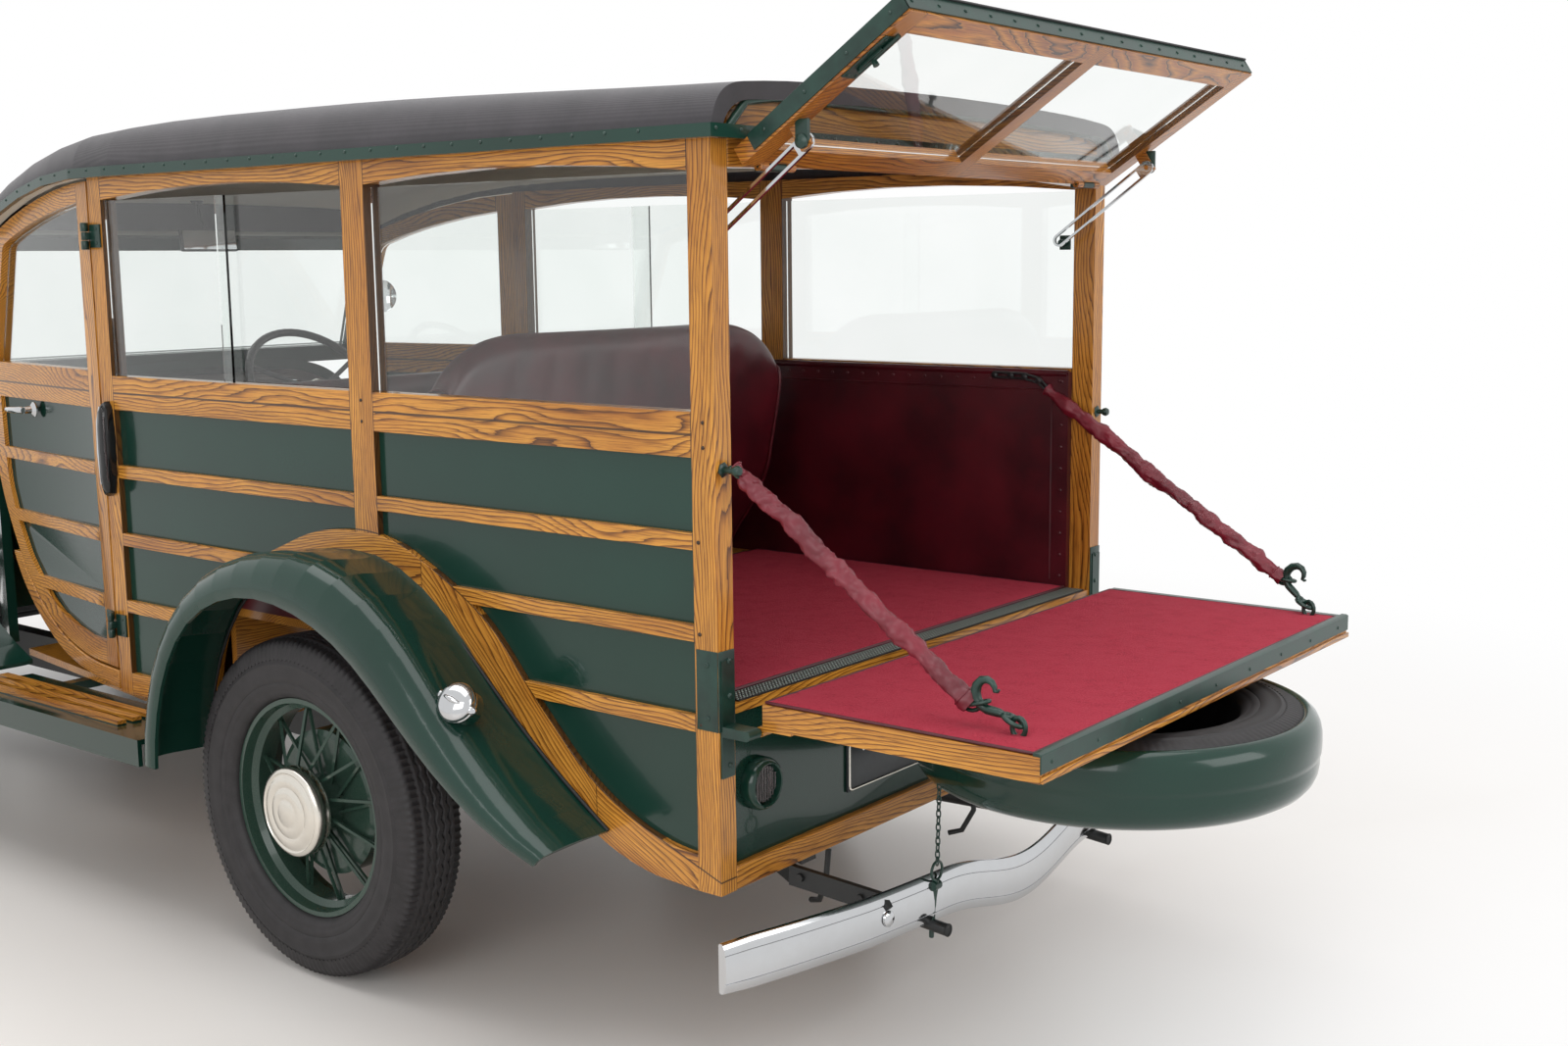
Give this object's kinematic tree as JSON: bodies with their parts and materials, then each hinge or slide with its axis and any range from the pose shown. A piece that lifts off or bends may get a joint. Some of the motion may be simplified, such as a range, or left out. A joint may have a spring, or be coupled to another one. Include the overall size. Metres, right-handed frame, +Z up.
{
  "type": "station wagon",
  "caption": "Timber-framed estate car of the mid nineteen-thirties with drop tailgate, top-hinged liftgate, rear-hinged front doors and under-slung spare wheel",
  "frame": {"origin": "on the ground, under the middle of the car between the front bumper and the spare wheel", "axes": "+X points forward, +Y to the left of the car, +Z up"},
  "size_m": [5.24, 1.75, 1.8458],
  "materials": {
    "green_paint": "gloss dark green",
    "green_panel": "gloss dark green on board",
    "varnished_ash": "varnished",
    "roof_fabric": "coated roof fabric",
    "window_glass": "clear",
    "tyre_rubber": "matt",
    "wheel_paint": "gloss dark green, polished cap",
    "black_frame": "satin black",
    "engine_iron": "painted",
    "bright_chrome": "polished",
    "lamp_chrome": "polished with glass",
    "tail_lamp_red": "red lens in a black rim",
    "maroon_leather": "smooth",
    "red_carpet": "pile",
    "dash_paint": "gloss",
    "black_rubber": "matt",
    "floor_boards": "plain boards",
    "exhaust_steel": "dull"
  },
  "bodies": {
    "car": {"bonnet_sides": "green_paint", "cargo_carpet": "red_carpet", "chassis_frame": "black_frame", "cowl": "green_paint", "dashboard": "dash_paint", "door_sills": "varnished_ash", "engine_block": "engine_iron", "exhaust": "exhaust_steel", "filler_cap": "green_paint", "floor": "floor_boards", "front_axle": "black_frame", "front_bumper": "bright_chrome", "front_fender_left": "green_paint", "front_fender_right": "green_paint", "front_seat": "maroon_leather", "grille": "green_paint", "headlamps": "lamp_chrome", "rear_axle": "black_frame", "rear_bumper": "bright_chrome", "rear_fender_left": "green_paint", "rear_fender_right": "green_paint", "rear_frame": "varnished_ash", "rear_hinges": "green_paint", "rear_panel": "green_panel", "rear_seat": "maroon_leather", "roof_cover": "roof_fabric", "roof_gutter": "green_paint", "running_boards": "varnished_ash", "side_frame_left": "varnished_ash", "side_frame_right": "varnished_ash", "side_linings": "varnished_ash", "side_panels": "green_panel", "steering_column": "black_frame", "tail_lamps": "tail_lamp_red", "tailgate_chains": "maroon_leather", "window_glass": "window_glass"},
    "wheel_rear_left": {"tyre_rear_left": "tyre_rubber", "wheel_rear_left": "wheel_paint"},
    "wheel_rear_right": {"tyre_rear_right": "tyre_rubber", "wheel_rear_right": "wheel_paint"},
    "knuckle_left": {"knuckle_left": "black_frame"},
    "knuckle_right": {"knuckle_right": "black_frame"},
    "wheel_front_left": {"tyre_front_left": "tyre_rubber", "wheel_front_left": "wheel_paint"},
    "wheel_front_right": {"tyre_front_right": "tyre_rubber", "wheel_front_right": "wheel_paint"},
    "steering_wheel": {"steering_wheel": "black_rubber"},
    "door_left": {"door_left": "varnished_ash", "door_glass_left": "window_glass"},
    "door_right": {"door_right": "varnished_ash", "door_glass_right": "window_glass"},
    "tailgate": {"tailgate": "varnished_ash", "spare_cover": "green_paint", "spare_tyre": "tyre_rubber"},
    "liftgate": {"liftgate": "varnished_ash", "liftgate_glass": "window_glass"},
    "liftgate_stays": {"liftgate_stays": "bright_chrome"},
    "bonnet_left": {"bonnet_left": "green_paint"},
    "bonnet_right": {"bonnet_right": "green_paint"},
    "tie_rod": {"tie_rod": "black_frame"}
  },
  "joints": [
    {"name": "rear_left_spin", "type": "hinge", "parent": "car", "child": "wheel_rear_left", "pos_m": [-0.825, 0.72, 0.355], "axis": [0, 1, 0], "continuous": true},
    {"name": "rear_right_spin", "type": "hinge", "parent": "car", "child": "wheel_rear_right", "pos_m": [-0.825, -0.72, 0.355], "axis": [0, 1, 0], "continuous": true},
    {"name": "steer_left", "type": "hinge", "parent": "car", "child": "knuckle_left", "pos_m": [2.02, 0.612, 0.355], "axis": [0, 0, 1], "range_deg": [-28, 28]},
    {"name": "steer_right", "type": "hinge", "parent": "car", "child": "knuckle_right", "pos_m": [2.02, -0.612, 0.355], "axis": [0, 0, 1], "range_deg": [-28, 28]},
    {"name": "front_left_spin", "type": "hinge", "parent": "knuckle_left", "child": "wheel_front_left", "pos_m": [2.02, 0.705, 0.355], "axis": [0, 1, 0], "continuous": true},
    {"name": "front_right_spin", "type": "hinge", "parent": "knuckle_right", "child": "wheel_front_right", "pos_m": [2.02, -0.705, 0.355], "axis": [0, 1, 0], "continuous": true},
    {"name": "steering_wheel_turn", "type": "hinge", "parent": "car", "child": "steering_wheel", "pos_m": [0.445, -0.27, 1.085], "axis": [-0.7879, -0.0276, 0.6151], "range_deg": [-340, 340]},
    {"name": "door_left_swing", "type": "hinge", "parent": "car", "child": "door_left", "pos_m": [-0.001, 0.689, 1.1], "axis": [0, 0, 1], "range_deg": [0, 70]},
    {"name": "door_right_swing", "type": "hinge", "parent": "car", "child": "door_right", "pos_m": [-0.001, -0.689, 1.1], "axis": [0, 0, -1], "range_deg": [0, 70]},
    {"name": "tailgate_hinge", "type": "hinge", "parent": "car", "child": "tailgate", "pos_m": [-1.909, 0, 0.662], "axis": [0, 1, 0], "range_deg": [0, 90], "deforming": ["tailgate_chains"]},
    {"name": "liftgate_hinge", "type": "hinge", "parent": "car", "child": "liftgate", "pos_m": [-1.881, 0, 1.606], "axis": [0, -1, 0], "range_deg": [0, 122.9]},
    {"name": "stay_swing", "type": "hinge", "parent": "liftgate", "child": "liftgate_stays", "pos_m": [-1.99242, 0, 1.63997], "axis": [0, 1, 0], "range_deg": [0, 93]},
    {"name": "bonnet_left_lift", "type": "hinge", "parent": "car", "child": "bonnet_left", "pos_m": [1.024, 0, 1.12], "axis": [0.9968, 0, -0.0793], "range_deg": [0, 50]},
    {"name": "bonnet_right_lift", "type": "hinge", "parent": "car", "child": "bonnet_right", "pos_m": [1.024, 0, 1.12], "axis": [-0.9968, 0, 0.0793], "range_deg": [0, 50]},
    {"name": "tie_rod_swing", "type": "hinge", "parent": "knuckle_left", "child": "tie_rod", "pos_m": [1.87, 0.612, 0.303], "axis": [0, 0, 1], "range_deg": [-28, 28]}
  ],
  "couplings": [
    {"joint": "steer_right", "follows": "steer_left", "ratio": 1},
    {"joint": "steering_wheel_turn", "follows": "steer_left", "ratio": 12},
    {"joint": "stay_swing", "follows": "liftgate_hinge", "ratio": 0.7535},
    {"joint": "tie_rod_swing", "follows": "steer_left", "ratio": -1}
  ]
}
